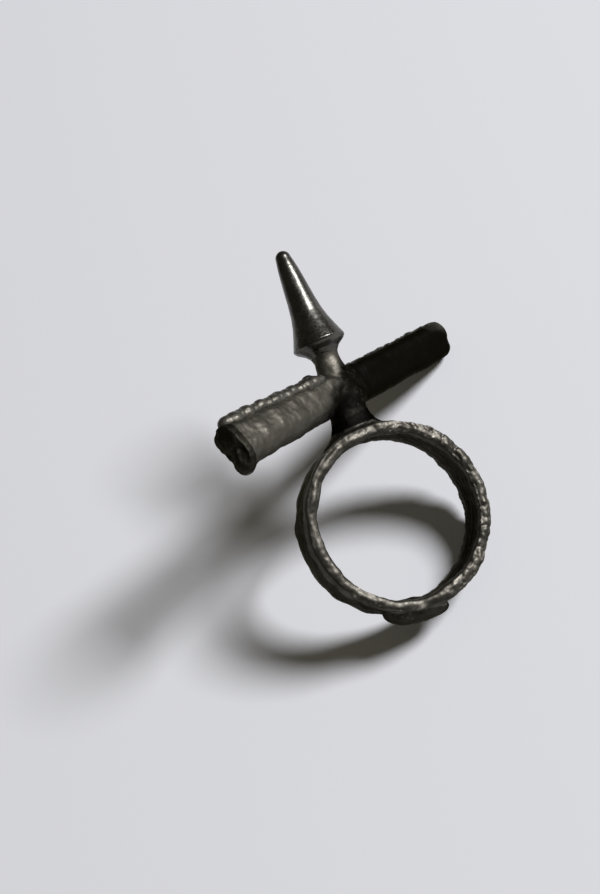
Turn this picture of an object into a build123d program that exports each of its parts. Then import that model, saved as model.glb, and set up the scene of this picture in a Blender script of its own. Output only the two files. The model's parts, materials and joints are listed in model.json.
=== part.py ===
"""A hand-made metal finger ring with a cross bar and a cone spike, in millimetres.

The ring is soldered up from a round band, a post, two arms either side of a hub, a neck and a spike.
It lies on Z = 0, on the end of its right arm and on the back rim of its band.
Every piece is drawn in the ring's own upright frame: local Z runs up the post to the spike, local Y along
the finger hole, and local X across the band.
"""

import os
from build123d import *

# The finger hole and the band round it
HOLE_RADIUS = 8.65
BAND_WIDTH = 5.2
LINER_WALL = 0.40
RIM_WIDTH = 1.0
FRONT_RIM_WALL = 0.65
BACK_RIM_WALL = 0.85
SHELL_WALL = 0.60
CROWN = 0.25

# The lump of solder over the band's lap, nearly opposite the post
LUMP_ANGLE = 14.0
LUMP_HALF_LENGTH = 3.0
LUMP_HALF_WIDTH = 1.75
LUMP_RISE = 1.2

# The upright stack: foot, post, hub, neck and spike, as heights above the hole's centre
FOOT_HALF_LENGTH = 3.9
FOOT_HALF_WIDTH = 2.2
FOOT_WAIST_HALF_LENGTH = 2.3
FOOT_WAIST_HALF_WIDTH = 1.9
FOOT_BOTTOM = 8.15
FOOT_TOP = 11.1
POST_RADIUS = 1.7
BAR_HEIGHT = 14.4
NECK_RADIUS = 1.45
NECK_FOOT_RADIUS = 1.75
NECK_FOOT_HEIGHT = 15.6
NECK_WAIST_HEIGHT = 17.5
NECK_TOP = 18.6
BRIM_HEIGHT = 20.1
BRIM_RADIUS = 2.9
BRIM_EDGE_RADIUS = 0.4
SPIKE_TIP_HEIGHT = 30.9
SPIKE_TIP_RADIUS = 0.68
# The cone's hollow side: its radius as a share of the brim's, at shares of its length above the brim
SPIKE_FLARE = ((0.81, 0.14), (0.59, 0.35), (0.42, 0.66))

# The cross bar: how it is turned about the post and tilted, and its section at the hub and at each end
BAR_TURN = 29.3
BAR_TILT = 8.2
HUB_LENGTH = 4.2
HUB_DEPTH = 3.4
HUB_HEIGHT = 4.6
SECTION_CORNER = 0.45
LEFT_REACH = 18.3
LEFT_END_DEPTH = 3.0
LEFT_END_HEIGHT = 4.9
LEFT_TWIST = -24.0
RIGHT_REACH = 20.62
RIGHT_END_DEPTH = 3.0
RIGHT_END_HEIGHT = 4.4
RIGHT_TWIST = 14.0
CAP_THICKNESS = 1.4
CAP_TAPER = 24.0
RIDGE_RADIUS = 0.72
RIDGE_SINK = 0.30
KNOB_RADIUS = 0.85
KNOB_PLACE = -3.7

# How the ring lies: the turn of its upright frame, in degrees, and where the hole's centre then stands
REST_TURN = (-61.6, 14.7, 17.5)
HOLE_CENTRE = (-4.23, -8.357, 7.992)

UPRIGHT = Plane.XY.moved(Location(HOLE_CENTRE, REST_TURN))
POST_AXIS = Axis(UPRIGHT.origin, UPRIGHT.z_dir)
HOLE_AXIS = Axis(UPRIGHT.origin, UPRIGHT.y_dir)
# Profiles turned about the post lie in FRONT, and those turned about the finger hole in ACROSS
FRONT = Plane(UPRIGHT.origin, x_dir=UPRIGHT.x_dir, z_dir=-UPRIGHT.y_dir)
ACROSS = Plane(UPRIGHT.origin, x_dir=UPRIGHT.y_dir, z_dir=UPRIGHT.x_dir)
# The bar's own frame: local Z towards the right arm's end, local Y up and local X away from the front
BAR = UPRIGHT.moved(Location((0, 0, BAR_HEIGHT), (0, 0, BAR_TURN)))
BAR = BAR.moved(Location((0, 0, 0), (0, 90 - BAR_TILT, 0)))
BAR = BAR.moved(Location((0, 0, 0), (0, 0, 90)))

HALF_BAND = BAND_WIDTH / 2
LINER_OUTSIDE = HOLE_RADIUS + LINER_WALL


def save(piece, label):
    """Name a finished piece and write it to its own file."""
    piece.part.label = label
    export_step(piece.part, f"parts/{label}.step")
    return piece


def band_hoop(start, end, wall, crown):
    """A hoop round the liner from one place along the finger hole to another, its outside domed by crown."""
    with BuildPart() as hoop:
        with BuildSketch(ACROSS):
            with BuildLine():
                outside = LINER_OUTSIDE + wall
                middle = (start + end) / 2
                Polyline((start, outside), (start, LINER_OUTSIDE), (end, LINER_OUTSIDE), (end, outside))
                ThreePointArc((end, outside), (middle, outside + crown), (start, outside))
            make_face()
        revolve(axis=HOLE_AXIS)
    return hoop


def make_liner():
    """The plain strip inside the band, whose inner face is the finger hole."""
    with BuildPart() as liner:
        with BuildSketch(ACROSS):
            with Locations((0, HOLE_RADIUS + LINER_WALL / 2)):
                Rectangle(BAND_WIDTH, LINER_WALL)
        revolve(axis=HOLE_AXIS)
    return liner


def make_core():
    """A plug as wide as the liner's outside. It isn't a piece: it keeps solder out of the finger hole."""
    with BuildPart() as core:
        with BuildSketch(FRONT):
            Circle(LINER_OUTSIDE)
        extrude(amount=BAND_WIDTH, both=True)
    return core


def make_lump(band_pieces):
    """The oval lump of solder outside the band's lap."""
    turned = UPRIGHT.moved(Location((0, 0, 0), (0, LUMP_ANGLE, 0)))
    side = Plane(turned.origin, x_dir=turned.x_dir, z_dir=-turned.y_dir)
    sink = HALF_BAND / 2
    centre_height = -(LINER_OUTSIDE + SHELL_WALL + CROWN + LUMP_RISE - LUMP_HALF_WIDTH)
    place = side.offset(-sink / 2)
    middle = place.from_local_coords(Vector(0, centre_height, 0))
    with BuildPart() as lump:
        with BuildSketch(place):
            with BuildLine():
                left = (-LUMP_HALF_LENGTH, centre_height)
                right = (LUMP_HALF_LENGTH, centre_height)
                Line(left, right)
                EllipticalCenterArc((0, centre_height), LUMP_HALF_LENGTH, LUMP_HALF_WIDTH, start_angle=180, arc_size=180)
            make_face()
        revolve(axis=Axis(middle, place.x_dir))
        for piece in band_pieces:
            add(piece.part, mode=Mode.SUBTRACT)
    return lump


def make_foot(band_pieces):
    """The solder fillet where the post stands on the band: wide along the band and narrow across it."""
    stations = (
        (FOOT_BOTTOM, FOOT_HALF_LENGTH, FOOT_HALF_WIDTH),
        ((LINER_OUTSIDE + FOOT_TOP) / 2, FOOT_WAIST_HALF_LENGTH, FOOT_WAIST_HALF_WIDTH),
        (FOOT_TOP, POST_RADIUS, POST_RADIUS),
    )
    with BuildPart() as foot:
        for height, half_length, half_width in stations:
            with BuildSketch(UPRIGHT.offset(height)):
                Ellipse(half_length, half_width)
        loft()
        for piece in band_pieces:
            add(piece.part, mode=Mode.SUBTRACT)
    return foot


def make_hub():
    """The short block at the crossing, which both arms are soldered to."""
    with BuildPart() as hub:
        with BuildSketch(BAR):
            RectangleRounded(HUB_DEPTH, HUB_HEIGHT, SECTION_CORNER * HUB_DEPTH)
        extrude(amount=HUB_LENGTH / 2, both=True)
    return hub


def make_post(hub):
    """The round pillar from the foot up to the underside of the hub."""
    with BuildPart() as post:
        with BuildSketch(UPRIGHT.offset(FOOT_TOP)):
            Circle(POST_RADIUS)
        extrude(amount=BAR_HEIGHT - FOOT_TOP)
        add(hub.part, mode=Mode.SUBTRACT)
    return post


def make_arm(reach, end_depth, end_height, twist, side):
    """One arm, from the hub's face out to its cap. side is 1 for the right arm and -1 for the left."""
    start = side * HUB_LENGTH / 2
    finish = side * (reach - CAP_THICKNESS)
    stations = (
        (start, HUB_DEPTH, HUB_HEIGHT, 0.0),
        ((start + finish) / 2, (HUB_DEPTH + end_depth) / 2, (HUB_HEIGHT + end_height) / 2, twist / 2),
        (finish, end_depth, end_height, twist),
    )
    with BuildPart() as arm:
        for place, depth, height, turn in stations:
            with BuildSketch(BAR.offset(place)):
                RectangleRounded(depth, height, SECTION_CORNER * depth, rotation=turn)
        loft()
    return arm


def make_cap(reach, end_depth, end_height, twist, side):
    """The rounded lump of metal that closes an arm's end."""
    with BuildPart() as cap:
        with BuildSketch(BAR.offset(side * (reach - CAP_THICKNESS))):
            RectangleRounded(end_depth, end_height, SECTION_CORNER * end_depth, rotation=twist)
        extrude(amount=side * CAP_THICKNESS, taper=CAP_TAPER)
    return cap


def make_ridge(reach, end_height, twist, side, arm, hub):
    """The wire laid along the top of an arm, sunk into it."""
    start = side * HUB_LENGTH / 2
    finish = side * (reach - CAP_THICKNESS)
    stations = (
        (start, HUB_HEIGHT / 2 - RIDGE_SINK, 0.0),
        (finish, end_height / 2 - RIDGE_SINK, twist),
    )
    with BuildPart() as ridge:
        for place, height, turn in stations:
            seat = Vector(0, height).rotate(Axis.Z, turn)
            with BuildSketch(BAR.offset(place)):
                with Locations((seat.X, seat.Y)):
                    Circle(RIDGE_RADIUS)
        loft()
        add(arm.part, mode=Mode.SUBTRACT)
        add(hub.part, mode=Mode.SUBTRACT)
    return ridge


def make_neck(hub):
    """The short stem between the hub and the spike's foot."""
    with BuildPart() as neck:
        with BuildSketch(FRONT):
            with BuildLine():
                foot = (NECK_FOOT_RADIUS, NECK_FOOT_HEIGHT)
                Polyline(foot, (0, NECK_FOOT_HEIGHT), (0, NECK_TOP), (NECK_RADIUS, NECK_TOP))
                Spline((NECK_RADIUS, NECK_TOP), (NECK_RADIUS, NECK_WAIST_HEIGHT), foot)
            make_face()
        revolve(axis=POST_AXIS)
        add(hub.part, mode=Mode.SUBTRACT)
    return neck


def make_spike_foot():
    """The flared underside of the spike, from the neck out to the brim."""
    with BuildPart() as foot:
        with BuildSketch(FRONT):
            with BuildLine():
                brim = (BRIM_RADIUS, BRIM_HEIGHT)
                under_brim = (BRIM_RADIUS - BRIM_EDGE_RADIUS, BRIM_HEIGHT - BRIM_EDGE_RADIUS)
                Polyline((NECK_RADIUS, NECK_TOP), (0, NECK_TOP), (0, BRIM_HEIGHT), brim)
                RadiusArc(brim, under_brim, BRIM_EDGE_RADIUS)
                Line(under_brim, (NECK_RADIUS, NECK_TOP))
            make_face()
        revolve(axis=POST_AXIS)
    return foot


def make_spike():
    """The cone above the brim, hollow-sided like a trumpet and round at the tip."""
    nose = SPIKE_TIP_HEIGHT - SPIKE_TIP_RADIUS
    length = nose - BRIM_HEIGHT
    flare = [(BRIM_RADIUS * width, BRIM_HEIGHT + length * height) for width, height in SPIKE_FLARE]
    with BuildPart() as spike:
        with BuildSketch(FRONT):
            with BuildLine():
                Polyline((0, SPIKE_TIP_HEIGHT), (0, BRIM_HEIGHT), (BRIM_RADIUS, BRIM_HEIGHT))
                Spline((BRIM_RADIUS, BRIM_HEIGHT), *flare, (SPIKE_TIP_RADIUS, nose))
                RadiusArc((SPIKE_TIP_RADIUS, nose), (0, SPIKE_TIP_HEIGHT), -SPIKE_TIP_RADIUS)
            make_face()
        revolve(axis=POST_AXIS)
    return spike


def make_knob(others):
    """The small bead of solder on top of the bar beside the neck."""
    centre = BAR.from_local_coords(Vector(0, HUB_HEIGHT / 2, KNOB_PLACE))
    with BuildPart() as knob:
        with Locations(Location(centre)):
            Sphere(KNOB_RADIUS)
        for piece in others:
            add(piece.part, mode=Mode.SUBTRACT)
    return knob


def main():
    os.makedirs("parts", exist_ok=True)
    liner = save(make_liner(), "band_liner")
    shell = save(band_hoop(RIM_WIDTH - HALF_BAND, HALF_BAND - RIM_WIDTH, SHELL_WALL, CROWN), "band_shell")
    front_rim = save(band_hoop(-HALF_BAND, RIM_WIDTH - HALF_BAND, FRONT_RIM_WALL, CROWN), "front_rim")
    back_rim = save(band_hoop(HALF_BAND - RIM_WIDTH, HALF_BAND, BACK_RIM_WALL, CROWN), "back_rim")
    band = (liner, shell, front_rim, back_rim)
    band_and_hole = (*band, make_core())
    lump = save(make_lump(band_and_hole), "seam_lump")
    foot = save(make_foot(band_and_hole), "post_foot")
    hub = save(make_hub(), "hub")
    post = save(make_post(hub), "post")
    left_arm = save(make_arm(LEFT_REACH, LEFT_END_DEPTH, LEFT_END_HEIGHT, LEFT_TWIST, -1), "left_arm")
    right_arm = save(make_arm(RIGHT_REACH, RIGHT_END_DEPTH, RIGHT_END_HEIGHT, RIGHT_TWIST, 1), "right_arm")
    left_cap = save(make_cap(LEFT_REACH, LEFT_END_DEPTH, LEFT_END_HEIGHT, LEFT_TWIST, -1), "left_arm_cap")
    right_cap = save(make_cap(RIGHT_REACH, RIGHT_END_DEPTH, RIGHT_END_HEIGHT, RIGHT_TWIST, 1), "right_arm_cap")
    left_ridge = save(make_ridge(LEFT_REACH, LEFT_END_HEIGHT, LEFT_TWIST, -1, left_arm, hub), "left_arm_ridge")
    right_ridge = save(make_ridge(RIGHT_REACH, RIGHT_END_HEIGHT, RIGHT_TWIST, 1, right_arm, hub), "right_arm_ridge")
    neck = save(make_neck(hub), "neck")
    spike_foot = save(make_spike_foot(), "spike_foot")
    spike = save(make_spike(), "spike")
    knob = save(make_knob((left_arm, left_ridge, hub, neck)), "crown_knob")

    pieces = (*band, lump, foot, hub, post, left_arm, right_arm, left_cap, right_cap)
    pieces += (left_ridge, right_ridge, neck, spike_foot, spike, knob)
    box = Compound(children=[piece.part for piece in pieces]).bounding_box()
    print(f"whole part from {box.min} to {box.max}")
    for piece in pieces:
        low = piece.part.bounding_box().min.Z
        print(f"{piece.part.label:16s} lowest at {low:7.3f}, volume {piece.part.volume:8.3f}")


main()
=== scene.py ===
# %% [markdown]
# # A hand-made ring with a cross bar and a cone
#
# The real object is a finger ring soldered up from wire and bar: a round band of several strands, a short
# post, a long slanting cross bar with a rounded block in its middle, and a neck that carries a tall flared
# cone. Silver solder has run over every joint, so the corners are soft and full, and the surface is lumpy
# from the torch. Then the whole ring was blackened, and its high spots were rubbed bright again.

# %% [markdown]
# ## The frame
#
# The imported model gives the sizes and the places. Every piece of it gets a detailed stand-in here.

# %% Load the frame
import bpy
import json
import math
import random
from mathutils import Euler, Matrix, Vector


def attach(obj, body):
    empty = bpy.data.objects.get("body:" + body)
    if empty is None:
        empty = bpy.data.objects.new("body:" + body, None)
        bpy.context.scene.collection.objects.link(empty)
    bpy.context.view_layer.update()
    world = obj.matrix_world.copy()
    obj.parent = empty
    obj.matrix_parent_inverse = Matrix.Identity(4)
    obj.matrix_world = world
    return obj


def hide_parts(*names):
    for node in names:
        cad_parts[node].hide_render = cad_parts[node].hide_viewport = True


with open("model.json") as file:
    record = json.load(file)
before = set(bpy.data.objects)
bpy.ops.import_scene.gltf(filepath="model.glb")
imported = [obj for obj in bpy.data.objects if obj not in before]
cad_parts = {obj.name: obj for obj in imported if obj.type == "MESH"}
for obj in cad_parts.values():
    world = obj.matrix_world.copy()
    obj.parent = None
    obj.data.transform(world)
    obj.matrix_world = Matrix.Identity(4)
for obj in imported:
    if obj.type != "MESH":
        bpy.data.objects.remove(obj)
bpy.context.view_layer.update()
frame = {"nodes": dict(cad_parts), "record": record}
nodes = frame["nodes"]
random.seed(7)
bpy.context.scene.view_settings.view_transform = "Standard"

# %% [markdown]
# ## The bench
#
# A ring is easiest to shape when it stands upright, so each piece is modelled on a bench of its own: in
# millimetres, with the middle of the finger hole at zero, X across the band, Y along the finger hole and Z
# up the post. One matrix then lays the finished work down in the frame. The finger hole's mount gives where
# the ring lies, and the three turns below are the ones that the model was laid down with.

# %% From the bench to the frame
MM = 0.001
LYING_TURN = (-61.6, 14.7, 17.5)
hole = next(mount for mount in frame["record"]["mounts"] if mount["name"] == "finger_hole")
hole_centre = Vector(hole["pos_m"])
lying = Euler([math.radians(turn) for turn in LYING_TURN], "ZYX").to_matrix().to_4x4()
bench_to_frame = Matrix.Translation(hole_centre) @ lying @ Matrix.Scale(MM, 4)
off_axis = lying.to_3x3().col[1].angle(Vector(hole["axis"]))
print(f"the bench's Y is {math.degrees(off_axis):.2f} degrees off the finger hole's axis")

# %% Sizes on the bench, in millimetres
HOLE_RADIUS = hole["dims"]["r_mm"]
BAND_WIDTH = hole["dims"]["length_mm"]
STRANDS = 5
STRAND_RADIUS = 0.60
POST_RADIUS = 1.65
BAR_HEIGHT = 14.4
BAR_TURN = 29.3
BAR_TILT = 8.2
HUB_HALF_LENGTH = 2.1
LEFT_REACH = 18.2
RIGHT_REACH = 20.5
CAP_LENGTH = 1.4
NECK_RADIUS = 1.42
NECK_TOP = 18.7
BRIM_HEIGHT = 20.05
BRIM_RADIUS = 2.93
TIP_HEIGHT = 30.85
TIP_RADIUS = 0.84
LEFT_TWIST = -24.0
RIGHT_TWIST = 14.0

# The bar's own axes: X to the back, Y up and Z out to the right arm's end
bar_turns = Matrix.Rotation(math.radians(BAR_TURN), 4, "Z")
bar_turns = bar_turns @ Matrix.Rotation(math.radians(90 - BAR_TILT), 4, "Y")
bar_to_bench = Matrix.Translation((0, 0, BAR_HEIGHT)) @ bar_turns @ Matrix.Rotation(math.radians(90), 4, "Z")
bar_middle = bar_to_bench.to_translation()
bar_back, bar_up, bar_out = bar_to_bench.to_3x3().transposed()
print(f"the right arm's end is at {tuple(round(x, 2) for x in bar_to_bench @ Vector((0, 0, RIGHT_REACH)))}")

# %% [markdown]
# ## The camera, the floor and the light
#
# A ring on a white table by a window needs very little: a camera that looks down at about 56 degrees and is
# turned on its side a little, a pale floor, one window, and the soft warm light of the room. The window is
# small from where the ring lies, because the cone carries one thin bright streak and the long shadows keep
# their shape. The room has to be plain and dim: blackened metal shows what is round it, and very little else.

# %% Camera
CAMERA_SEAT = Vector((-3.2, -71.77, 128.49)) * MM
CAMERA_FORWARD = Vector((0.0, 0.5564, -0.8309))
CAMERA_UP = Vector((0.6092, 0.659, 0.4412))
CAMERA_ANGLE = 35.42

camera_data = bpy.data.cameras.new("camera")
camera = bpy.data.objects.new("camera", camera_data)
bpy.context.scene.collection.objects.link(camera)
bpy.context.scene.camera = camera
backward = -CAMERA_FORWARD.normalized()
rightward = CAMERA_UP.cross(backward).normalized()
upward = backward.cross(rightward)
camera.matrix_world = Matrix((rightward, upward, backward)).transposed().to_4x4()
camera.matrix_world.translation = hole_centre + CAMERA_SEAT
camera_data.sensor_fit = "VERTICAL"
camera_data.angle = math.radians(CAMERA_ANGLE)
camera_data.clip_start = 0.005
print(f"the camera is {CAMERA_SEAT.length / MM:.0f} mm from the finger hole")

# %% Floor, window and room
FLOOR_SIZE = 0.7
FLOOR_WHITE = "E2E3E5"
FLOOR_ROUGHNESS = 0.75
FLOOR_SHEEN = 0.15
ROOM_GREY = "524F46"
DAYLIGHT = "FAFAFF"
WINDOW_DIRECTION = Vector((0.739, -0.16, 0.655))
WINDOW_DISTANCE = 2.0
WINDOW_SIZE = 0.6
WINDOW_POWER = 53.5


def linear(hex_colour, alpha=1.0):
    """An sRGB hex colour as the linear one that the shaders take."""
    channels = [int(hex_colour[at:at + 2], 16) / 255 for at in (0, 2, 4)]
    straight = [c / 12.92 if c <= 0.04045 else ((c + 0.055) / 1.055) ** 2.4 for c in channels]
    return (*straight, alpha)


def add_node(tree, kind, settings=None, **inputs):
    """Add one node, set its properties and its sockets, and link those that are given another's output."""
    node = tree.nodes.new(kind)
    for name, value in (settings or {}).items():
        setattr(node, name, value)
    for name, value in inputs.items():
        socket = node.inputs[int(name[1:])] if name[0] == "_" else node.inputs[name.replace("_", " ")]
        if isinstance(value, bpy.types.NodeSocket):
            tree.links.new(value, socket)
        else:
            socket.default_value = value
    return node


bpy.ops.object.select_all(action="DESELECT")
bpy.ops.mesh.primitive_plane_add(size=FLOOR_SIZE)
floor = bpy.context.object
floor.name = "table_top"
table_paint = bpy.data.materials.new("white table top")
table_paint.use_nodes = True
table_shader = table_paint.node_tree.nodes["Principled BSDF"]
table_shader.inputs["Base Color"].default_value = linear(FLOOR_WHITE)
table_shader.inputs["Roughness"].default_value = FLOOR_ROUGHNESS
table_shader.inputs["Specular IOR Level"].default_value = FLOOR_SHEEN
floor.data.materials.append(table_paint)

bpy.ops.object.light_add(type="AREA", location=hole_centre + WINDOW_DIRECTION.normalized() * WINDOW_DISTANCE)
window = bpy.context.object
window.name = "window"
window.rotation_euler = WINDOW_DIRECTION.to_track_quat("Z", "Y").to_euler()
window.data.shape = "DISK"
window.data.size = WINDOW_SIZE
window.data.energy = WINDOW_POWER
window.data.color = linear(DAYLIGHT)[:3]

room = bpy.data.worlds.new("room")
bpy.context.scene.world = room
room.use_nodes = True
room_light = room.node_tree.nodes["Background"]
room_light.inputs["Color"].default_value = linear(ROOM_GREY)
room_light.inputs["Strength"].default_value = 1.0
print("the floor, the window and the room are in place")

# %% [markdown]
# ## Working habits
#
# Operators act on whatever is selected, so every step starts from an empty selection. The helpers below see
# to that. They select things, apply a modifier, move a piece for good, join shapes into one and make a
# small ball of metal.


# %% Helpers for the bench
def pick(*objects):
    """Select these objects and nothing else, the first of them active."""
    bpy.ops.object.select_all(action="DESELECT")
    for thing in objects:
        thing.select_set(True)
    bpy.context.view_layer.objects.active = objects[0]


def finish_modifier(thing, kind, **settings):
    """Add one modifier to a piece and apply it."""
    pick(thing)
    modifier = thing.modifiers.new(kind.lower(), kind)
    for name, value in settings.items():
        setattr(modifier, name, value)
    bpy.ops.object.modifier_apply(modifier=modifier.name)


def settle(thing, matrix):
    """Move a piece by a matrix, and leave its object where it was, unturned and unscaled."""
    pick(thing)
    thing.matrix_world = matrix @ thing.matrix_world
    bpy.ops.object.transform_apply(location=True, rotation=True, scale=True)
    return thing


def weld(name, things):
    """Join several closed shapes into one object, as pieces held together before they are soldered."""
    pick(*things)
    bpy.ops.object.join()
    welded = bpy.context.object
    welded.name = name
    return welded


def bead(place, radius, stretch=(1, 1, 1), turn=(0, 0, 0)):
    """A small ball of melted metal. It starts as a sphere, and gets its real shape when the metal flows."""
    bpy.ops.object.select_all(action="DESELECT")
    bpy.ops.mesh.primitive_uv_sphere_add(
        segments=24, ring_count=16, radius=radius, location=place, rotation=turn
    )
    ball = bpy.context.object
    ball.scale = stretch
    bpy.ops.object.transform_apply(location=True, rotation=True, scale=True)
    return ball


# %% [markdown]
# ## The band
#
# The band is a bundle of wires, laid side by side and soldered: inside, the wires still show as ridges that
# run round the finger, while the outside was filed and hammered nearly flat. Each wire is a torus about the
# finger hole. The two outer wires are thicker, because they are the rims. A thin hoop over the middle wires
# makes the flatter outside, and two taller ones square off the rims.

# %% The strands
strand_gap = (BAND_WIDTH - 2 * STRAND_RADIUS) / (STRANDS - 1)
RIM_GROWTH = 0.08
HOOP_OUTSIDE = 9.92
RIM_OUTSIDE = (9.95, 9.97)
strands = []
for number in range(STRANDS):
    is_rim = number in (0, STRANDS - 1)
    radius = STRAND_RADIUS + RIM_GROWTH * is_rim
    along = -BAND_WIDTH / 2 + STRAND_RADIUS + number * strand_gap
    bpy.ops.object.select_all(action="DESELECT")
    bpy.ops.mesh.primitive_torus_add(
        major_segments=120,
        minor_segments=20,
        major_radius=HOLE_RADIUS + radius,
        minor_radius=radius,
        location=(0, along, 0),
        rotation=(math.pi / 2, 0, 0),
    )
    strand = bpy.context.object
    bpy.ops.object.transform_apply(location=True, rotation=True, scale=True)
    strands.append(strand)
print(f"{len(strands)} strands, {strand_gap:.2f} mm apart")


# %% The hoops that flatten the outside
def hoop(start, end, inner_radius, outer_radius):
    """A flat hoop round the finger hole, spun from one four-sided profile."""
    bpy.ops.object.select_all(action="DESELECT")
    middle = (0, (start + end) / 2, (inner_radius + outer_radius) / 2)
    bpy.ops.mesh.primitive_plane_add(size=1, location=middle, rotation=(0, math.pi / 2, 0))
    ring = bpy.context.object
    ring.scale = (outer_radius - inner_radius, end - start, 1)
    bpy.ops.object.transform_apply(location=True, rotation=True, scale=True)
    bpy.ops.object.mode_set(mode="EDIT")
    bpy.ops.mesh.select_all(action="SELECT")
    bpy.ops.mesh.spin(steps=120, angle=math.tau, center=(0, 0, 0), axis=(0, 1, 0))
    bpy.ops.mesh.select_all(action="SELECT")
    bpy.ops.mesh.remove_doubles(threshold=0.001)
    bpy.ops.mesh.delete_loose()
    bpy.ops.mesh.select_all(action="SELECT")
    bpy.ops.mesh.normals_make_consistent(inside=False)
    bpy.ops.object.mode_set(mode="OBJECT")
    return ring


SHELL_HALF = 1.75
SHELL_INSIDE = HOLE_RADIUS + 0.45
RIM_INSIDE = HOLE_RADIUS + 0.1
RIM_LAP = 0.3
FRONT_EDGE = BAND_WIDTH / 2 - 0.04
BACK_EDGE = FRONT_EDGE - 0.1
hoops = [
    hoop(-SHELL_HALF, SHELL_HALF, SHELL_INSIDE, HOOP_OUTSIDE),
    hoop(-FRONT_EDGE, -SHELL_HALF + RIM_LAP, RIM_INSIDE, RIM_OUTSIDE[0]),
    hoop(SHELL_HALF - RIM_LAP, BACK_EDGE, RIM_INSIDE, RIM_OUTSIDE[1]),
]
print(f"{len(hoops)} hoops, each of {len(hoops[0].data.polygons)} faces")

# %% [markdown]
# ## The solder over the lap
#
# Nearly opposite the post the band was closed with a lap, and a long lump of solder covers it. It is a few
# flattened balls that will run together. The band is thicker on its left side
# too, and four flat balls in a row make that bulge.

# %% Lump at the lap, and the bulge beside it
LAP_ANGLE = math.radians(12)
LAP_RADIUS = 9.85


def on_band(angle, radius, along):
    """A place round the band: the angle is taken from straight below, towards the left."""
    return Vector((-math.sin(angle) * radius, along, -math.cos(angle) * radius))


lap = [
    bead(on_band(LAP_ANGLE, LAP_RADIUS, -0.3), 1.0, (3.0, 2.4, 1.35), (0, LAP_ANGLE, 0)),
    bead(on_band(LAP_ANGLE - 0.2, LAP_RADIUS + 0.2, -0.5), 1.0, (1.9, 1.6, 1.0), (0, LAP_ANGLE, 0)),
    bead(on_band(LAP_ANGLE + 0.17, LAP_RADIUS + 0.05, 0.0), 1.0, (1.5, 1.5, 1.0), (0, LAP_ANGLE, 0)),
]
BULGE_ANGLES = [math.radians(angle) for angle in (58, 74, 90, 104)]
BULGE_RADIUS = 9.62
BULGE_STRETCH = (2.2, 2.35, 0.8)
bulge = []
for angle in BULGE_ANGLES:
    bulge.append(bead(on_band(angle, BULGE_RADIUS, 0.15), 1.0, BULGE_STRETCH, (0, angle, 0)))
print(f"{len(lap)} beads over the lap, and {len(bulge)} in the bulge at the band's side")

# %% [markdown]
# ## The post
#
# The post is a short round pillar whose foot spreads along the band. It starts as an oval disc inside the
# band and is drawn up in steps, each one resized, the way one would pull a candle of wax.


# %% Drawing up a round bar in steps
def drawn_up(first, steps, vertices=40):
    """A bar along Z, from a disc at the height, half-width and half-depth of first, through each of steps."""
    height, half_width, half_depth = first
    bpy.ops.object.select_all(action="DESELECT")
    bpy.ops.mesh.primitive_circle_add(vertices=vertices, radius=1, fill_type="NGON", location=(0, 0, height))
    bar = bpy.context.object
    bar.scale = (half_width, half_depth, 1)
    bpy.ops.object.transform_apply(location=True, rotation=True, scale=True)
    bpy.ops.object.mode_set(mode="EDIT")
    bpy.ops.mesh.select_all(action="SELECT")
    for next_height, next_width, next_depth in steps:
        bpy.ops.mesh.extrude_region_move(TRANSFORM_OT_translate={"value": (0, 0, next_height - height)})
        growth = (next_width / half_width, next_depth / half_depth, 1)
        bpy.ops.transform.resize(value=growth, center_override=(0, 0, next_height))
        height, half_width, half_depth = next_height, next_width, next_depth
    bpy.ops.mesh.select_all(action="SELECT")
    bpy.ops.mesh.normals_make_consistent(inside=False)
    bpy.ops.object.mode_set(mode="OBJECT")
    return bar


FOOT_START = (9.15, 4.2, 2.3)
FOOT_STEPS = (
    (9.3, 4.0, 2.35), (9.75, 3.4, 2.2), (10.3, 2.8, 2.0), (11.0, 2.35, 1.8),
    (12.0, 2.1, POST_RADIUS), (13.0, 2.25, 1.75), (14.0, 2.6, 1.8),
)
post = drawn_up(FOOT_START, FOOT_STEPS)
print(f"the post has {len(post.data.polygons)} faces")

# %% [markdown]
# ## The cross bar
#
# Both arms are square bar, hammered round at the edges. An arm starts as a bevelled square and is drawn out
# along Z in steps, each one resized, turned and shifted a little, because a hammered bar is never quite
# straight. The two twist opposite ways as they go out, and the left one grows taller.


# %% Drawing out an arm
ROOT_DEPTH = 3.3
ARM_STEPS = 11


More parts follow.
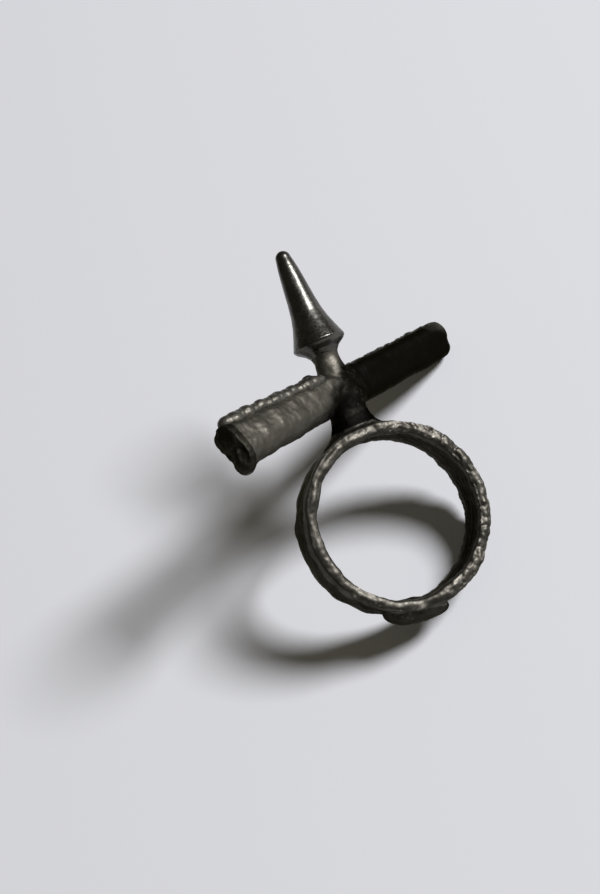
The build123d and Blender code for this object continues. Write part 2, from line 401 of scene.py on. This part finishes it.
def arm(direction, reach, height, end_depth, end_height, twist, corner, lift=0.0):
    """An arm along the bar's own Z. direction is 1 for the right arm and -1 for the left one."""
    step = direction * (reach - CAP_LENGTH) / ARM_STEPS
    depth_growth = (end_depth / ROOT_DEPTH) ** (1 / ARM_STEPS)
    height_growth = (end_height / height) ** (1 / ARM_STEPS)
    bpy.ops.object.select_all(action="DESELECT")
    bpy.ops.mesh.primitive_plane_add(size=1, location=(0, lift, 0))
    bar = bpy.context.object
    bar.scale = (ROOT_DEPTH, height, 1)
    bpy.ops.object.transform_apply(location=True, rotation=True, scale=True)
    bpy.ops.object.mode_set(mode="EDIT")
    bpy.ops.mesh.select_all(action="SELECT")
    bpy.ops.mesh.bevel(offset=corner * ROOT_DEPTH, offset_type="OFFSET", segments=5, affect="VERTICES")
    bpy.ops.mesh.select_all(action="SELECT")
    wander = Vector((0, lift))
    for number in range(ARM_STEPS):
        bpy.ops.mesh.extrude_region_move(TRANSFORM_OT_translate={"value": (0, 0, step)})
        middle = (wander.x, wander.y, (number + 1) * step)
        wobble = [random.uniform(0.985, 1.015) for _ in range(2)]
        growth = (depth_growth * wobble[0], height_growth * wobble[1], 1)
        bpy.ops.transform.resize(value=growth, center_override=middle)
        bpy.ops.transform.rotate(
            value=-math.radians(twist) / ARM_STEPS, orient_axis="Z", center_override=middle
        )
        shift = Vector((random.uniform(-0.05, 0.05), random.uniform(-0.05, 0.05)))
        bpy.ops.transform.translate(value=(shift.x, shift.y, 0))
        wander += shift
    bpy.ops.mesh.select_all(action="SELECT")
    bpy.ops.mesh.normals_make_consistent(inside=False)
    bpy.ops.object.mode_set(mode="OBJECT")
    return bar


def turned(vector, degrees):
    """A place in the bar's section, turned about the bar."""
    return Matrix.Rotation(math.radians(degrees), 4, "Z") @ Vector(vector)


LEFT_OVERRUN = 0.9
left_arm = arm(-1, LEFT_REACH + LEFT_OVERRUN, 4.1, 3.1, 5.4, LEFT_TWIST, 0.49, lift=0.25)
right_arm = arm(1, RIGHT_REACH, 4.5, 2.9, 4.3, RIGHT_TWIST, 0.40)
low, high = min(v.co.y for v in left_arm.data.vertices), max(v.co.y for v in left_arm.data.vertices)
print(f"the left arm is {high - low:.2f} mm high")

# %% The block in the middle and the ends
hub = bead((0, 0, 0), 1.0, (1.95, 2.45, 2.3))
left_end = [
    bead(turned((0.1, 1.3, -17.4), LEFT_TWIST), 1.0, (1.3, 1.25, 0.6)),
    bead(turned((0.4, -1.5, -17.3), LEFT_TWIST), 1.0, (1.35, 1.35, 0.9)),
    bead(turned((-0.6, 0.0, -17.5), LEFT_TWIST), 1.0, (0.9, 1.3, 0.5)),
]
right_end = [
    bead(turned((0.0, 0.6, 19.1), RIGHT_TWIST), 1.0, (1.35, 1.5, 1.3)),
    bead(turned((0.0, -0.8, 19.1), RIGHT_TWIST), 1.0, (1.35, 1.3, 1.2)),
]
bar_pieces = [left_arm, right_arm, hub, *left_end, *right_end]
for piece in bar_pieces:
    settle(piece, bar_to_bench)
print(f"{len(bar_pieces)} shapes make up the cross bar")

# %% [markdown]
# ## The neck and the cone
#
# The cone was turned or filed: it is by far the smoothest piece. Its sides are hollow like a trumpet's, its
# tip is round, and below the brim it tapers in to the neck.

# %% Cone on its neck
TIP_STEPS = 7
LAST_SLOPE = math.radians(85)
CONE_START = (16.0, 1.75, 1.75)
# Heights and radii from the neck's foot up to the brim
NECK_PROFILE = (
    (17.3, 1.5), (18.2, NECK_RADIUS), (NECK_TOP, NECK_RADIUS + 0.12), (19.25, 1.95),
    (BRIM_HEIGHT - 0.35, 2.62), (BRIM_HEIGHT - 0.1, 2.85), (BRIM_HEIGHT + 0.12, BRIM_RADIUS),
)
# Shares of the way up from the brim, and of the brim's radius there
FLARE = (
    (0.02, 0.975), (0.05, 0.94), (0.14, 0.82), (0.24, 0.70),
    (0.35, 0.60), (0.50, 0.52), (0.66, 0.46), (0.82, 0.395), (0.93, 0.335),
)
nose = TIP_HEIGHT - TIP_RADIUS
profile = list(NECK_PROFILE)
for share, width in FLARE:
    profile.append((BRIM_HEIGHT + share * (nose - BRIM_HEIGHT), BRIM_RADIUS * width))
for number in range(TIP_STEPS):
    slope = LAST_SLOPE * number / (TIP_STEPS - 1)
    profile.append((nose + TIP_RADIUS * math.sin(slope), TIP_RADIUS * math.cos(slope)))
cone = drawn_up(CONE_START, [(height, radius, radius) for height, radius in profile], vertices=64)
print(f"the cone has {len(cone.data.polygons)} faces")

# %% [markdown]
# ## Letting the solder flow
#
# Held together, the shapes only cross each other. Real solder fills every inner corner, and the torch rounds
# every outer one. A voxel remesh does both at once: it makes one skin round everything, and a smoothing pass
# then pulls the inner corners full. The joints get most of it, the strands and edges little.

# %% One skin round everything
VOXEL = 0.12
ring = weld("ring", [*strands, *hoops, *lap, *bulge, post, *bar_pieces, cone])
ring.data.remesh_voxel_size = VOXEL
ring.data.remesh_voxel_adaptivity = 0
pick(ring)
bpy.ops.object.voxel_remesh()
print(f"one skin of {len(ring.data.polygons)} faces")


# %% Where the solder is, as vertex groups
def near(place, point, radius):
    """1 at a point, falling smoothly to 0 at a radius from it."""
    share = max(0.0, 1 - (place - point).length / radius)
    return share * share * (3 - 2 * share)


def weigh(thing, name, weight):
    """A vertex group that holds, for each vertex, what weight says of its place."""
    group = thing.vertex_groups.new(name=name)
    for vertex in thing.data.vertices:
        amount = weight(vertex.co)
        if amount > 0.01:
            group.add([vertex.index], min(1.0, amount), "REPLACE")


# Where the solder ran, and how far from there it still fills the corners
joints = [
    (Vector((0, 0, 10.6)), 4.6),
    (bar_to_bench @ Vector((0, 0, 0)), 4.2),
    (Vector((0, 0, 17.2)), 2.6),
    (on_band(LAP_ANGLE, 10.2, -0.5), 6.0),
    (on_band(BULGE_ANGLES[1], 10.4, 0.0), 5.0),
    (on_band(BULGE_ANGLES[3], 10.4, 0.0), 4.0),
    (bar_to_bench @ Vector((0, 0, -17.4)), 3.4),
    (bar_to_bench @ Vector((0, 0, 19.4)), 2.6),
]
weigh(ring, "joints", lambda place: max(near(place, point, radius) for point, radius in joints))
SKIN_PASSES = 5
JOINT_PASSES = 80
finish_modifier(ring, "SMOOTH", factor=0.5, iterations=SKIN_PASSES)
finish_modifier(ring, "SMOOTH", factor=0.5, iterations=JOINT_PASSES, vertex_group="joints")
print("the joints are full")

# %% [markdown]
# ## The torch's marks
#
# Metal that has been near melting is uneven at two scales: slow swellings a few millimetres long, and small
# dimples and grains of about half a millimetre. Displace modifiers on cloud textures give both. The rims
# are hammered as well, so they get dimples of their own, and the end of the left arm is ragged. The cone was
# worked smooth, so it gets only the finest grain.


# %% Lumps and dimples
def clouds(name, size, depth=1):
    """A cloud texture whose lumps are about size millimetres across."""
    texture = bpy.data.textures.new(name, "CLOUDS")
    texture.noise_scale = size
    texture.noise_depth = depth
    texture.noise_basis = "BLENDER_ORIGINAL"
    return texture


def within(amount):
    """The amount, kept between 0 and 1."""
    return max(0.0, min(1.0, amount))


BAND_TOP = 10.3
BAND_OUTSIDE = 10.8
LEAST_HAMMERED = 0.14


def rim_weight(place):
    """The band's two edges, away from the post and the lap. The side that was hammered hardest is at +X."""
    if place.z > BAND_TOP or place.xz.length > BAND_OUTSIDE:
        return 0.0
    edge = within((abs(place.y) - 1.4) / 0.5)
    side = within(0.5 + place.x / 9.0)
    from_lap = 1.0 - near(place, on_band(LAP_ANGLE, 10.0, -2.0), 5.5)
    return edge * (LEAST_HAMMERED + (1 - LEAST_HAMMERED) * side) * from_lap


def plain_weight(place):
    """Everything but the cone, which begins near the post's axis. The right arm is smoother than the rest."""
    if place.xy.length < 3.2:
        return within(1.15 - (place.z - 17.5) / 1.5)
    along = (place - bar_middle).dot(bar_out) if place.z > 11.0 else 0.0
    return 1.0 - 0.6 * within(along / 6.0)


def mark(texture, strength, group, mid_level=0.5):
    """Press a texture into the ring's skin, where a vertex group allows it."""
    finish_modifier(
        ring, "DISPLACE", texture=texture, strength=strength, mid_level=mid_level, vertex_group=group
    )


left_tip = bar_to_bench @ Vector((0, -0.6, -LEFT_REACH))
weigh(ring, "rims", rim_weight)
weigh(ring, "plain", plain_weight)
weigh(ring, "left end", lambda place: near(place, left_tip, 4.2))
weigh(ring, "all", lambda place: 1.0)
HAMMER_GAP = 0.75
hammer = bpy.data.textures.new("hammer marks", "VORONOI")
hammer.noise_scale = HAMMER_GAP
hammer.distance_metric = "DISTANCE_SQUARED"
mark(clouds("slow swelling", 3.2), 0.42, "plain")
mark(clouds("melt lumps", 1.1), 0.16, "plain")
mark(hammer, -0.15, "rims", mid_level=0.35)
mark(clouds("hammered rim", 0.8, 2), 0.24, "rims")
mark(clouds("ragged end", 1.3, 2), 0.75, "left end")
mark(clouds("fine grain", 0.45), 0.03, "all")
print("the skin is marked")

# %% [markdown]
# ## Back to separate pieces
#
# The jeweller knows where each piece ends although the solder hides it. The skin is cut there with planes,
# and each cut is closed, so every piece is a solid of its own and its surface runs on into the next one's.


# %% Cutting
def cut(thing, name, point, normal):
    """Cut off what lies beyond a plane as a new closed piece, and close what is left."""
    pick(thing)
    bpy.ops.object.duplicate()
    beyond = bpy.context.object
    beyond.name = name
    for piece, clear_inner in ((beyond, True), (thing, False)):
        pick(piece)
        bpy.ops.object.mode_set(mode="EDIT")
        bpy.ops.mesh.select_all(action="SELECT")
        bpy.ops.mesh.bisect(
            plane_co=point, plane_no=normal, use_fill=True,
            clear_inner=clear_inner, clear_outer=not clear_inner,
        )
        bpy.ops.object.mode_set(mode="OBJECT")
    print(f"{name}: {len(beyond.data.polygons)} faces, leaving {len(thing.data.polygons)}")
    return beyond


UNDER_BAR = 2.75
OVER_BAR = 3.05
FOOT_BOTTOM = 10.35
FOOT_TOP = 11.1
LAP_FROM = 9.95
RIM_FROM = 1.6
UPWARD = (0, 0, 1)
FORWARD = (0, -1, 0)
BACKWARD = (0, 1, 0)
# The left arm meets the hub in a slanting plane, which also bounds the painted light on the left arm
LEFT_JOINT_NORMAL = Vector((-0.80, 0.18, 0.57)).normalized()
left_joint = bar_middle - bar_back * 1.7 - bar_out * 3.2
upper = cut(ring, "upper", bar_middle - bar_up * UNDER_BAR, bar_up)
top = cut(upper, "neck", bar_middle + bar_up * OVER_BAR, bar_up)
cone_skin = cut(top, "spike_foot", (0, 0, NECK_TOP), UPWARD)
spike_skin = cut(cone_skin, "spike", (0, 0, BRIM_HEIGHT), UPWARD)
right_skin = cut(upper, "right_arm", bar_middle + bar_out * HUB_HALF_LENGTH, bar_out)
left_skin = cut(upper, "left_arm", left_joint, LEFT_JOINT_NORMAL)
right_cap = cut(right_skin, "right_arm_cap", bar_middle + bar_out * (RIGHT_REACH - CAP_LENGTH), bar_out)
left_cap = cut(left_skin, "left_arm_cap", bar_middle - bar_out * (LEFT_REACH - CAP_LENGTH), -bar_out)
foot_skin = cut(ring, "post_foot", (0, 0, FOOT_BOTTOM), UPWARD)
post_skin = cut(foot_skin, "post", (0, 0, FOOT_TOP), UPWARD)
lap_direction = on_band(LAP_ANGLE, 1, 0)
lap_skin = cut(ring, "seam_lump", lap_direction * LAP_FROM, lap_direction)
front_skin = cut(ring, "front_rim", (0, -RIM_FROM, 0), FORWARD)
back_skin = cut(ring, "back_rim", (0, RIM_FROM, 0), BACKWARD)

# %% [markdown]
# ## Granules along the arms
#
# A row of granules runs along the left arm's top edge: balls of scrap silver, melted in a row until they
# nearly fused. The right arm has smaller balls, laid so close that they run into a wire. One ball sits on the
# bar on its own, beside the neck. Each row is welded with a finer voxel than the ring's, to keep its shape.


# %% Rows of granules
ROW_VOXEL = 0.07


def granules(name, direction, span, gap, radius, heights, twist, reach, lean, flow):
    """A row of balls along the top of an arm, in the bar's own axes, run together by a voxel remesh.

    span is where the row starts and ends, heights are its own at the hub and at the arm's end, lean is how
    far aside it sits, and flow is how many times it is smoothed.
    """
    balls = []
    place, end = span
    while place < end:
        size = radius * random.uniform(0.78, 1.14)
        share = place / (reach - CAP_LENGTH)
        turn = twist * share
        height = heights[0] + (heights[1] - heights[0]) * share
        across = lean + random.uniform(-0.14, 0.14)
        seat = turned((across, height + random.uniform(-0.1, 0.08), direction * place), turn)
        balls.append(bead(seat, size, (1.05, 0.9, random.uniform(0.95, 1.3))))
        place += gap * random.uniform(0.85, 1.15)
    row = settle(weld(name, balls), bar_to_bench)
    row.data.remesh_voxel_size = ROW_VOXEL
    pick(row)
    bpy.ops.object.voxel_remesh()
    finish_modifier(row, "SMOOTH", factor=0.5, iterations=flow)
    finish_modifier(row, "DISPLACE", texture=bpy.data.textures["fine grain"], strength=0.06)
    print(f"{name}: {len(balls)} balls, {len(row.data.polygons)} faces")
    return row


left_row = granules(
    "left_arm_ridge", -1, (2.8, 16.8), 1.0, 0.88, (1.95, 2.45), LEFT_TWIST, LEFT_REACH, lean=-0.75, flow=34
)
right_row = granules(
    "right_arm_ridge", 1, (2.2, 18.6), 0.5, 0.5, (1.95, 1.95), RIGHT_TWIST, RIGHT_REACH, lean=0.0, flow=45
)
knob = settle(bead((0.0, 2.45, -3.5), 0.78), bar_to_bench)
knob.name = "crown_knob"
finish_modifier(knob, "SUBSURF", levels=1, render_levels=1)
finish_modifier(knob, "DISPLACE", texture=bpy.data.textures["melt lumps"], strength=0.15)

# %% [markdown]
# ## The finish
#
# Silver blackened with sulphide is a thin dark skin on a bright metal. Where a hand or a cloth rubs, the
# skin goes and warm grey silver comes through, first on beads and edges. Patches keep a dull, nearly black
# bloom. So one noise mixes the skin with its bloom, and the worn silver comes over both by how much a place
# stands out, which the Geometry node's Pointiness says. A finer noise keeps the surface grainy.

# %% Blackened silver
WORN = "A7A39B"
MOTTLE_MM = 1.6
GRAIN_MM = 0.22
FADE_MM = 1.6
# Pointiness at which rubbing begins, and at which it is strongest
RUBBED_EDGE = (0.54, 0.66)
PATCHES = (0.42, 0.68)
PATCH_WEAR = 0.15


def mixed(tree, share, first, second):
    """A node that mixes two colours by a share, from 0 for the first to 1 for the second."""
    return add_node(tree, "ShaderNodeMix", {"data_type": "RGBA"}, _0=share, _6=first, _7=second).outputs[2]


def mapped(tree, value, low, high, to_low=0.0, to_high=1.0, kind="LINEAR"):
    """A node that stretches the values between low and high to the range between to_low and to_high."""
    node = add_node(
        tree, "ShaderNodeMapRange", {"interpolation_type": kind},
        Value=value, From_Min=low, From_Max=high, To_Min=to_low, To_Max=to_high,
    )
    return node.outputs[0]


def scaled(tree, value, factor, more, clamp=False):
    """A node that multiplies a value and adds something more."""
    settings = {"operation": "MULTIPLY_ADD", "use_clamp": clamp}
    return add_node(tree, "ShaderNodeMath", settings, _0=value, _1=factor, _2=more).outputs[0]


def blackened(name, skin, bloom, wear, roughness, relief=0.03, glance="FFFFFF", fade=None):
    """Silver with a skin of one colour and a bloom of a darker one. wear is how far it was rubbed, 0 to 1.

    relief is the grain's depth in millimetres. glance tints what the skin shows at a low angle, where soot
    swallows most of it. fade is a plane's point and normal and a paler skin and bloom, which the metal turns
    to beyond the plane as painted light, against the darker skin kept as painted shade.
    """
    material = bpy.data.materials.new(name)
    material.use_nodes = True
    tree = material.node_tree
    shader = tree.nodes["Principled BSDF"]
    shader.inputs["Metallic"].default_value = 1.0
    shader.inputs["Specular Tint"].default_value = linear(glance)
    where = add_node(tree, "ShaderNodeTexCoord").outputs["Object"]
    mottle_scale, grain_scale = 1 / (MOTTLE_MM * MM), 1 / (GRAIN_MM * MM)
    mottle_node = add_node(
        tree, "ShaderNodeTexNoise", Vector=where, Scale=mottle_scale, Detail=4.0, Roughness=0.6
    )
    grain_node = add_node(
        tree, "ShaderNodeTexNoise", Vector=where, Scale=grain_scale, Detail=3.0, Roughness=0.65
    )
    mottle, grain = mottle_node.outputs["Fac"], grain_node.outputs["Fac"]
    pointed = add_node(tree, "ShaderNodeNewGeometry").outputs["Pointiness"]
    rubbed = scaled(tree, mapped(tree, mottle, *PATCHES), PATCH_WEAR * wear, 0.0)
    worn = scaled(tree, mapped(tree, pointed, *RUBBED_EDGE), wear, rubbed, clamp=True)
    dark = mixed(tree, mottle, linear(bloom), linear(skin))
    if fade:
        point, normal, pale_skin, pale_bloom = fade
        beyond = add_node(tree, "ShaderNodeVectorMath", {"operation": "DOT_PRODUCT"}, _0=where, _1=normal)
        reach = scaled(tree, mottle, FADE_MM * MM, beyond.outputs["Value"])
        edge = point.dot(normal)
        share = mapped(tree, reach, edge, edge + FADE_MM * MM, kind="SMOOTHSTEP")
        dark = mixed(tree, share, dark, mixed(tree, mottle, linear(pale_bloom), linear(pale_skin)))
    tree.links.new(mixed(tree, worn, dark, linear(WORN)), shader.inputs["Base Color"])
    dull = mapped(tree, grain, 0.3, 0.7, roughness - 0.08, roughness + 0.1)
    tree.links.new(dull, shader.inputs["Roughness"])
    bump = add_node(tree, "ShaderNodeBump", Strength=0.4, Distance=relief * MM, Height=grain)
    tree.links.new(bump.outputs["Normal"], shader.inputs["Normal"])
    print(f"{name}: {len(tree.nodes)} nodes")
    return material


def faded(point, normal, pale_skin, pale_bloom):
    """A plane on the bench, taken to the frame, with the two paler colours of painted light that the metal
    turns to beyond it.
    """
    direction = (bench_to_frame.to_3x3() @ normal).normalized()
    return bench_to_frame @ point, direction, pale_skin, pale_bloom


# %% The finishes
SOOT = "B8B8B2"
# Beyond the slanting joint plane the skin turns pale: painted light on the left arm. The hub keeps the black
# skin, which is real blackening made darker still as painted shade.
left_painted_light = faded(left_joint, LEFT_JOINT_NORMAL, "66635A", "4A4740")
# The right arm gets the darkest skin, which is real blackening made darker still as painted shade on its
# face. Beyond this plane, the top corner of its end turns pale as painted light.
right_tip_light_point = bar_middle + bar_out * 18.0 + bar_up * 1.4
right_tip_painted_light = faded(right_tip_light_point, bar_out * 0.5 + bar_up * 0.87, "625F57", "3E3C36")
band_black = blackened("blackened silver, hammered", "3E3C37", "272622", 0.14, 0.46, glance="B0AFA8")
# The post and its foot get the darkest and dullest skin of the ring.
post_black = blackened("blackened silver, darkest and dullest", "13120F", "0C0B0A", 0.0, 0.58, glance="909090")
right_arm_painted_shade_and_light = blackened(
    "blackened silver, torch-melted", "181714", "100F0D", 0.0, 0.50, glance=SOOT, fade=right_tip_painted_light
)
bar_painted_shade_and_light = blackened(
    "blackened silver, black at the hub and rubbed grey outwards", "181714", "100F0D", 0.05, 0.50,
    relief=0.05, glance=SOOT, fade=left_painted_light,
)
# The left arm's end gets a darker skin than the pale arm beside it: painted shade on the end face.
left_end_painted_shade = blackened("blackened silver, ragged at the end", "38352F", "1E1D19", 0.06, 0.52, glance=SOOT)
ridge_grey = blackened("silver granules, blackened and rubbed", "6C6961", "4E4C45", 0.22, 0.48)
wire_dull = blackened("blackened silver wire, dull", "4A4842", "302E2A", 0.15, 0.45)
cone_black = blackened("blackened silver, filed smooth", "6A6862", "34332F", 0.15, 0.31, relief=0.012)
rim_bright = blackened("silver rubbed bright at the rim", "5C5952", "383630", 0.36, 0.45, glance="C8C8C2")

# %% [markdown]
# ## Laying the ring down
#
# Each piece leaves the bench by one matrix, which is then applied, so its object sits at the origin and its
# place is in its mesh. Then it gets its finish, and it is named as the stand-in for its piece of the model.

# %% Every piece in its place
SEAM_ANGLE = math.radians(50)
ring.name = "band_strands"
finished = [
    (ring, band_black, "blackened_silver", ("band_liner", "band_shell")),
    (front_skin, rim_bright, "worn_silver", ("front_rim",)),
    (back_skin, rim_bright, "worn_silver", ("back_rim",)),
    (lap_skin, band_black, "blackened_silver", ("seam_lump",)),
    (foot_skin, post_black, "blackened_silver", ("post_foot",)),
    (post_skin, post_black, "blackened_silver", ("post",)),
    (upper, bar_painted_shade_and_light, "blackened_silver", ("hub",)),
    (left_skin, bar_painted_shade_and_light, "blackened_silver", ("left_arm",)),
    (right_skin, right_arm_painted_shade_and_light, "blackened_silver", ("right_arm",)),
    (left_cap, left_end_painted_shade, "blackened_silver", ("left_arm_cap",)),
    (right_cap, right_arm_painted_shade_and_light, "blackened_silver", ("right_arm_cap",)),
    (left_row, ridge_grey, "worn_silver", ("left_arm_ridge",)),
    (right_row, wire_dull, "worn_silver", ("right_arm_ridge",)),
    (knob, rim_bright, "worn_silver", ("crown_knob",)),
    (top, bar_painted_shade_and_light, "blackened_silver", ("neck",)),
    (cone_skin, cone_black, "blackened_silver", ("spike_foot",)),
    (spike_skin, cone_black, "blackened_silver", ("spike",)),
]
upper.name = "hub_block"
for piece, material, slot, stood_for in finished:
    settle(piece, bench_to_frame)
    piece.vertex_groups.clear()
    piece.data.materials.clear()
    piece.data.materials.append(material)
    bpy.ops.object.shade_smooth_by_angle(angle=SEAM_ANGLE)
    if piece.name in nodes or piece.name.split(".")[0] in nodes:
        piece.name = piece.name.split(".")[0] + "_metal"
    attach(piece, "root")
    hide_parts(*stood_for)
    print(f"{piece.name}: {len(piece.data.polygons)} faces, stands for {', '.join(stood_for)}")
